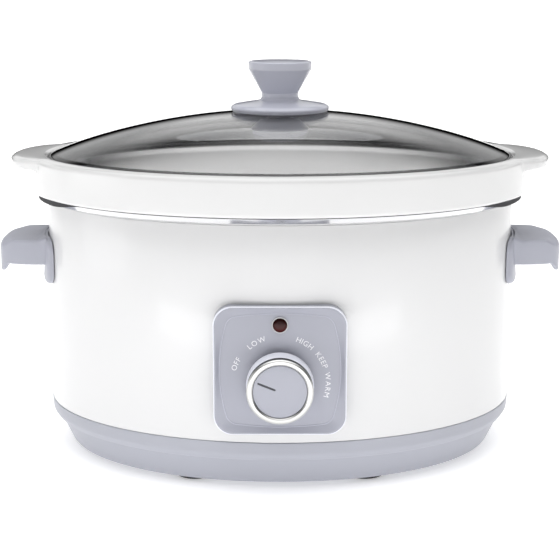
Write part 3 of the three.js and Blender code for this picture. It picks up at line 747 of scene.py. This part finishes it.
def make_panel(steps=240):
    """The panel: a round-cornered frame that slopes in to a bowed inner field, over a hollow back whose edge
    follows the shell. Two fine pale strips are painted highlights on it: one rolled over the rim, one between
    frame and field."""
    half, bevel, sunk = 45, 1.5, 2.32
    outline = rounded_box(half, 44.8, 13, steps)
    inner_wall = rounded_box(42.5, 42.3, 10.5, steps)
    field = bowed_box(35, 37, 5, (6, 2.7), steps)
    rim_start = PANEL_FACE - 1.6
    back = PANEL_FACE - 2.5 - 1.6

    def row(xy, forward):
        return np.stack([xy[:, 0], -(forward + 0 * xy[:, 0]), xy[:, 1] + PANEL_Z], -1)

    def rim(bend, out=0):
        """A row on the rim's round edge, grown by out: bend is 0 at its side and a right angle at its face."""
        return row(outline * (1 - (bevel * (1 - math.cos(bend)) - out) / half),
                   rim_start + 1.6 * math.sin(bend) + out)

    rows = [row(inner_wall * share, back) for share in (0, 0.5, 0.97)]
    rows += [row(inner_wall, back - 0.8), row(inner_wall, shell_front(inner_wall[:, 0])),
             row(outline, shell_front(outline[:, 0])), row(outline, rim_start)]
    rows += [rim(bend) for bend in np.linspace(0.2, math.pi / 2, 6)]
    edge = outline * (1 - bevel / half)
    for share, depth in ((0.1, 0.15), (0.5, 1.0), (0.9, 1.8), (0.97, 1.95)):
        rows.append(row(edge * (1 - share) + field * 1.006 * share, PANEL_FACE - depth))
    for share, depth in ((1.0, 2.05), (0.994, 2.2), (0.985, 2.3), (0.97, sunk)):
        rows.append(row(field * share, PANEL_FACE - depth))
    for share in (0.9, 0.75, 0.6, 0.45, 0.3, 0.15, 0):
        rows.append(row(field * share, PANEL_FACE - sunk + 0.7 * (1 - share ** 2)))
    panel = make_piece("panel_moulding", *skin(np.stack(rows), "poles"), "grey_plastic",
                       replaces=["control_panel"], sharp=30,
                       finish=moulded_plastic("panel_moulding", PANEL_GREY))
    # Painted highlights: the two pale strips stand for light caught on the rim's round edge and on the field's
    # edge.
    rim_painted_highlight = [rim(bend, out) for out, bends in ((0.08, (0.1, 0.4, 0.7, 1.0)), (-0.3, (1.0, 0.1)))
                for bend in bends]
    field_painted_highlight = [row(field * share, PANEL_FACE - depth)
                  for share, depth in ((1.006, 1.95), (1.001, 1.82), (0.994, 1.85), (0.991, 2.4))]
    highlight_grey = moulded_plastic("field_painted_highlight", tuple(c * 1.28 for c in PANEL_GREY))
    for name, line, finish in (("panel_rim_line", rim_painted_highlight, FINISHES["pale_plastic"]),
                               ("panel_field_line", field_painted_highlight, highlight_grey)):
        make_piece(name, *skin(np.stack(line)), "grey_plastic", finish=finish)
    holes = [to_front(cylinder(radius, 100, 160), z) for radius, z in ((5.4, DIAL_Z), (5.3, LAMP_Z))]
    carve(panel, *[skin(hole, "poles") for hole in holes])


def make_lamp():
    """The pilot lamp: a domed lens with a shoulder behind the panel, in a thin pale ring that is a painted
    highlight on the edge of its hole.
    """
    profile = rounded([(0, 129), (6.5, 129, 0.3), (6.5, 130.6, 0.3), (4.8, 131, 0.2),
                       (4.8, PANEL_FACE - 0.6, 0.6), (3.4, PANEL_FACE + 0.1, 2), (0, PANEL_FACE + 0.35)])
    make_piece("lamp_lens_dome", *skin(to_front(round_rows(profile, steps=64), LAMP_Z), "poles"), "lamp_red",
               replaces=["lamp_lens"])
    # Painted highlight: the pale ring stands for the light caught on the edge of the lamp's hole.
    front = PANEL_FACE - 1.35
    ring = rounded([(4.85, front - 1.5, 0), (5.25, front - 1.5, 0), (5.25, front, 0), (5.6, front, 0.1),
                    (5.6, front + 0.4, 0.2), (4.85, front + 0.4, 0.25)], True, 3)
    make_piece("lamp_painted_highlight_ring", *skin(to_front(round_rows(ring, steps=64), LAMP_Z)), "pale_plastic",
               finish=FINISHES["clear_silicone"])


def make_dial():
    """The dial: a tapered pale skirt, a black band at its neck that is painted shadow between skirt and ring,
    a bright ring set in its edge, and a grey disc with a sunk pointer. Each is a profile turned about the
    dial's axis."""
    back, face = 138.0, DIAL_FACE
    shoulder, neck = face - 3.4, face - 6.0

    def turned(profile):
        return to_front(round_rows(profile, steps=FINE_STEPS), DIAL_Z)

    skirt = rounded([(0, 148.3), (3.3, 148.3, 0.2), (3.3, 139.6, 0.3), (6.5, 139.6, 0.3), (6.5, 149, 0.5),
                     (20.4, 149, 0.5), (20.9, back, 0.3), (22.9, back, 0.5), (22.4, neck, 0.4),
                     (21.7, neck, 0.1), (21.7, shoulder, 0.1), (0, shoulder)])
    make_piece("dial_skirt", *skin(turned(skirt), "poles"), "pale_plastic", "dial", ["dial_knob"])
    # Painted shadow: a black band between skirt and ring, where the gap between them is in shade.
    band = np.array([(21.72, neck + 0.05), (22.2, neck + 0.05), (22.2, shoulder + 1.7),
                     (22.0, shoulder + 1.7), (22.0, shoulder + 0.1), (21.72, shoulder + 0.1)])
    make_piece("dial_painted_shadow_band", *skin(turned(band)), "switch_phenolic", "dial")
    ring = rounded([(18.3, shoulder + 0.2, 0.1), (21.9, shoulder + 0.2, 0.2), (21.9, shoulder + 1.8, 0),
                    (22.3, shoulder + 1.8, 0.1), (22.3, face - 0.9, 0.6),
                    (21.3, face, 0.8), (19.2, face, 0.6), (18.3, face - 0.7, 0.4)], True, 5)
    make_piece("dial_ring_bright", *skin(turned(ring)), "dial_trim", "dial", ["dial_ring"])
    disc = rounded([(0, shoulder + 0.2), (18.05, shoulder + 0.2, 0.2), (18.05, face - 1.1, 0.5),
                    (0, face - 0.8)])
    cap = make_piece("dial_face_disc", *skin(turned(disc), "poles"), "grey_plastic", "dial", ["dial_cap"])
    spin = np.array(Matrix.Rotation(math.radians(POINTER_LEAN), 3, "Z"))
    from_middle = spin @ (0, 9.6, 0)

    def pointer_bar(half_width, half_length, high):
        rows = bar(half_width, half_length, face - 1.5, high, 5)
        return skin(to_front(rows @ spin.T + from_middle, DIAL_Z), "poles")

    carve(cap, pointer_bar(0.75, 6.5, face + 1))
    make_piece("dial_pointer_inlay", *pointer_bar(0.66, 6.4, face - 1.02), "pointer_ink", "dial",
               ["dial_pointer"])


def letter_mesh(text, size):
    """One letter's flat outline as a mesh: its points, from its own middle, and its faces."""
    curve = bpy.data.curves.new("letter", "FONT")
    curve.body, curve.size = text, size
    curve.extrude = 0.06
    curve.resolution_u = 4
    letter = bpy.data.objects.new("letter", curve)
    bpy.context.scene.collection.objects.link(letter)
    bpy.context.view_layer.update()
    mesh = bpy.data.meshes.new_from_object(letter.evaluated_get(bpy.context.evaluated_depsgraph_get()))
    points = np.array([vertex.co for vertex in mesh.vertices])
    faces = [list(polygon.vertices) for polygon in mesh.polygons]
    bpy.data.objects.remove(letter)
    points[:, 0] -= (points[:, 0].min() + points[:, 0].max()) / 2
    return points, faces


def make_labels():
    """Plain setting words round the dial: each letter stands on an arc and leans with it, and takes up its
    own width of the arc and a little more. A word's angle is clockwise from upright, and the letters lie on
    the panel's field, which falls away from its middle as a paraboloid."""
    radius, size, gap, space = 30.8, 5.1, 0.75, 1.4
    words = (("OFF", -66, "off"), ("LOW", -29, "low"), ("HIGH", 31, "high"), ("KEEP WARM", 79, "keep_warm"))
    for word, centre, name in words:
        letters = [letter_mesh(letter, size) if letter != " " else None for letter in word]
        widths = [np.ptp(made[0][:, 0]) if made else space for made in letters]
        starts = np.cumsum([0] + [w + gap for w in widths])
        all_points, all_faces, count = [], [], 0
        for made, start, width in zip(letters, starts, widths):
            if not made:
                continue
            points, faces = made
            lean = -math.radians(centre) - (start + width / 2 - (starts[-1] - gap) / 2) / radius
            x = points[:, 0] * math.cos(lean) - (points[:, 1] + radius) * math.sin(lean)
            y = points[:, 0] * math.sin(lean) + (points[:, 1] + radius) * math.cos(lean)
            fall = 0.66 * (x ** 2 + (y + DIAL_Z - PANEL_Z) ** 2) / 42 ** 2
            forward = PANEL_FACE - 1.60 + points[:, 2] - fall
            all_points.append(np.stack([x, -forward, y + DIAL_Z], -1))
            all_faces += [[v + count for v in face] for face in faces]
            count += len(points)
        make_piece(f"label_{name}", np.concatenate(all_points), all_faces, "white_paint", finish=LABEL_INK)


# ---------------------------------------------------------------- the crock
def crock_angles():
    """Angles round the crock, closer together where the ears are."""
    near = math.radians(24)
    rest = math.pi - 2 * near
    half = np.concatenate([np.linspace(-near, near, 100, endpoint=False),
                           near + np.linspace(0, rest, 90, endpoint=False)])
    return np.concatenate([half, half + math.pi])


def ear_reach(turn):
    """How far the ears stand out past the collar in x. An ear is half a superellipse that is 34.8 long and
    48 either way in y, blended with the collar by a smooth maximum."""
    power, soft, no_ear = 2.2, 1.3, -60
    collar_x, y = COLLAR * np.abs(np.cos(turn)), COLLAR_DEPTH * np.sin(turn)
    inside = np.clip(1 - (np.abs(y) / EAR_HALF) ** power, 0, 1)
    extra = EAR_ROOT + EAR_LENGTH * inside ** (1 / power) - collar_x
    extra = np.where((np.abs(y) < EAR_HALF) & (collar_x > 150), extra, no_ear)
    return soft * np.logaddexp(0, extra / soft)


def make_crock():
    """The crock: foot, belly and collar are one profile round the oval, and a band of the collar's rows is
    pulled out in X to form the two ears, with a fillet below and round edges."""
    turn = crock_angles()
    reach, side = ear_reach(turn), np.sign(np.cos(turn))
    below = rounded([(0, 60.9), (136, 60.9, 0.5), (137, 60.3, 0.4), (142, 60.3, 2), (153, 66, 12),
                     (155.6, 80, 20), (160.2, 191.3, 1.5), (161.6, 195.3, 0.6), (COLLAR, 195.3, 2.4),
                     (COLLAR, 210)])
    above = rounded([(181.0, RIM_Z, 3), (174.6, RIM_Z, 1.6), (172.5, RIM_Z - 1.6, 1.5), (172.3, 216.6, 0.8),
                     (171.2, 215.8, 0.8), (160.5, 215.8, 2), (156, 213, 4), (153.8, 200, 20), (147.6, 86, 16),
                     (141.5, 72, 12), (124, 69.4, 20), (0, 69.3)])
    fillet_z, edge_z, shoulder_z, top_z = 210.2, 214.2, 218.4, RIM_Z - 0.15
    edge_pull, top_pull, top_inset = 0.88, 0.84, 3.3
    rows = list(oval_rows(below, turn=turn))

    def collar(a, z, pull):
        rows.append(np.stack([a * np.cos(turn) + side * reach * pull, (a - OVAL_DIFFERENCE) * np.sin(turn),
                              z + 0 * turn], -1))

    for t in (0.08, 0.2, 0.35, 0.55, 0.75, 0.88):
        collar(COLLAR, fillet_z + (edge_z - fillet_z) * (1 - (1 - t) ** 4), t)
    for bend in np.linspace(0.15, 1, 6) * (math.pi / 2):
        collar(COLLAR, edge_z + 2.2 * (1 - math.cos(bend)), edge_pull + (1 - edge_pull) * math.sin(bend))
    for bend in np.linspace(0, 1, 8) * (math.pi / 2):
        collar(COLLAR - top_inset * (1 - math.cos(bend)), shoulder_z + (top_z - shoulder_z) * math.sin(bend),
               1 - (1 - top_pull) * (1 - math.cos(bend)))
    rows += list(oval_rows(above, turn=turn))
    make_piece("crock_glazed", *skin(np.stack(rows), "poles"), "stoneware", "crock", ["crock"], sharp=60)


# ---------------------------------------------------------------- the lid
def dome_height(a):
    """The dome over long half-width a: mostly a parabola, with a steep fall in the last few millimetres."""
    share = a / LID_RIM
    return LID_RIM_Z + LID_RISE * (1 - 0.96 * share ** 2 - 0.04 * share ** 13)


def make_lid_glass():
    """The glass dome, about 5 mm thick, with a rounded rim that stands on the crock's ledge."""
    hole = 3.4
    under_a, over_a = np.linspace(hole, LID_RIM - 6.5, 46), np.linspace(LID_RIM - 0.9, hole, 52)
    under = np.stack([under_a, dome_height(under_a) - GLASS], -1)
    rim = rounded([(LID_RIM - 6.0, 216.6, 1), (LID_RIM - 5.0, 216.1, 1), (LID_RIM - 0.8, 216.1, 1.2),
                   (LID_RIM, 217.2, 1.2), (LID_RIM, 220.6, 1.5)])
    over = np.stack([over_a, dome_height(over_a) - 0.25], -1)
    profile = np.concatenate([under, rim, over])
    make_piece("lid_dome_glass", *skin(oval_rows(profile, even=LID_RIM)), "lid_glass", "lid", ["lid_glass"])


def make_lid_knob():
    """The knob: a domed flange, a short neck and a flaring cone under a flat band and a crowned top. Its
    underside follows the glass, which falls away faster towards the front and back."""
    outer = rounded([
        (35.6, 252.6, 0.8), (36.9, 254.9, 2.2), (34.2, 257.2, 6), (22, 259.2, 20), (15.4, 260.2, 4),
        (13.6, 262.0, 2.5), (13.6, 265.9, 0.6), (23.2, 283.0, 0.9), (23.3, 288.2, 0.7), (21.4, 288.9, 2),
        (9, 289.45, 10), (0, KNOB_TOP),
    ], arc_steps=8)
    inner_r = np.linspace(2.6, 33.6, 12)
    below = np.stack([inner_r, dome_height(inner_r) + 0.45], -1)
    socket = np.array([[0, 276], [2.6, 275.2]])
    rows = round_rows(np.concatenate([socket, below, outer]), steps=FINE_STEPS)
    radius, turn = inner_r[:, None], angles(FINE_STEPS)
    dome_ratio = 0.734  # short over long half-width of the glass
    equal = radius * np.sqrt(np.cos(turn) ** 2 + (np.sin(turn) / dome_ratio) ** 2)
    rows[2:2 + len(below), :, 2] -= (dome_height(radius) - dome_height(equal)) * 0.7
    # The knob's grey is painted lighter than the other grey mouldings: painted light.
    make_piece("lid_knob_grip", *skin(rows, "poles"), "grey_plastic", "lid", ["lid_knob"], sharp=32,
               finish=moulded_plastic("knob_moulding", KNOB_GREY_PAINTED_LIGHT, 0.15, 0.02))


def make_lid_fixings():
    """Under the knob: a soft washer, the pale cone that holds the glass, and its screw, whose head sits in
    the cone's recess and has a cross slot."""
    washer = rounded([(3.2, 245.7, 0.2), (10, 245.7, 0.5), (10, 247.0, 0.5), (3.2, 247.0, 0.2)], True, 3)
    make_piece("lid_washer", *skin(round_rows(washer, steps=64)), "clear_silicone", "lid", ["sealing_washer"])
    low, high = 237.8, 245.3
    seat = high - 4
    cone = rounded([(3.2, seat, 0.2), (7, seat, 0.3), (7, low, 0.4), (21, low, 0.5), (21.3, low + 1.6, 0.6),
                    (14.5, high, 0.6), (3.2, high, 0.3)], True, 4)
    make_piece("lid_retainer_cone", *skin(round_rows(cone, steps=96)), "grey_plastic", "lid",
               ["knob_retainer"], finish=moulded_plastic("retainer_moulding", (0.86, 0.86, 0.88)))
    head = rounded([(0, seat - 3), (4.6, seat - 2.9, 1), (6, seat - 1.5, 0.8), (6, seat - 0.3, 0.2),
                    (2.2, seat - 0.3, 0.2), (2.2, 272, 0.6), (0, 273.5)])
    screw = make_piece("lid_screw", *skin(round_rows(head, steps=48), "poles"), "fastener_steel", "lid",
                       ["knob_screw"])
    cross = [bar(half_x, half_y, seat - 4, seat - 1.6) for half_x, half_y in ((0.6, 3.4), (3.4, 0.6))]
    carve(screw, *[skin(slot, "poles") for slot in cross])


def finish_hidden_parts():
    """Gives every CAD node that still shows its finish from the record's slots."""
    slots = {part["node"]: part["material_slot"] for part in frame["record"]["subparts"]}
    for node, piece in frame["nodes"].items():
        piece.data.materials.clear()
        piece.data.materials.append(FINISHES[slots[node]].material)


# ---------------------------------------------------------------- studio
def area_light(name, place, aim, size, power):
    """A rectangular soft lamp at a place, turned to face its aim."""
    data = bpy.data.lights.new(name, "AREA")
    data.shape = "RECTANGLE"
    data.size, data.size_y = size
    data.energy = power
    light = bpy.data.objects.new(name, data)
    light.location = place
    light.rotation_euler = (Vector(aim) - Vector(place)).to_track_quat("-Z", "Y").to_euler()
    bpy.context.scene.collection.objects.link(light)


def set_studio():
    """Soft light from all round: bright overhead, dimmer in front, and behind a bright band over a dark
    horizon, where the glass and the bright rims pick up their dark edges. The backdrop itself looks white."""
    scene = bpy.context.scene
    scene.view_settings.view_transform = "Standard"
    world = bpy.data.worlds.new("studio")
    world.use_nodes = True
    sky = Graph(world.node_tree)
    direction = sky.node("ShaderNodeTexCoord", {"out": "Generated"})
    height = sky.node("ShaderNodeSeparateXYZ", {"out": "Z"}, direction)
    behind = sky.node("ShaderNodeSeparateXYZ", {"out": "Y"}, direction).between(-0.1, 0.35)
    band = height.between(0.10, 0.24) * (1 - height.between(0.40, 0.60))
    lit = height.between(0.58, 0.95) * SKY_TOP + (1 - behind) * SKY_FRONT + behind * band * SKY_BACK
    seen = sky.node("ShaderNodeLightPath", {"out": "Is Camera Ray"})
    strength = lit * (1 - seen) + seen
    background = world.node_tree.nodes["Background"]
    background.inputs["Color"].default_value = (1, 1, 1, 1)
    sky.fill(background.inputs["Strength"], strength)
    scene.world = world
    for lamp in LAMPS:
        area_light(*lamp)


def make_floor(far=60.0):
    """A wide pale floor, lit from below like a light table."""
    mesh = bpy.data.meshes.new("floor")
    mesh.from_pydata([(-far, -far, 0), (far, -far, 0), (far, far, 0), (-far, far, 0)], [], [(0, 1, 2, 3)])
    floor = bpy.data.objects.new("floor", mesh)
    bpy.context.scene.collection.objects.link(floor)
    surface = Finish("light_table", Base_Color=(0.95, 0.95, 0.95), Roughness=0.8, Emission_Color=(1, 1, 1),
                     Emission_Strength=FLOOR_GLOW)
    mesh.materials.append(surface.material)


set_camera()
set_studio()
make_floor()
finish_hidden_parts()
make_shell()
make_base()
make_feet()
make_trim_ring()
make_rim_painted_shadow_strip()
make_well()
make_inlet_bush()
make_handles()
make_panel()
make_lamp()
make_dial()
make_labels()
make_crock()
make_lid_glass()
make_lid_knob()
make_lid_fixings()
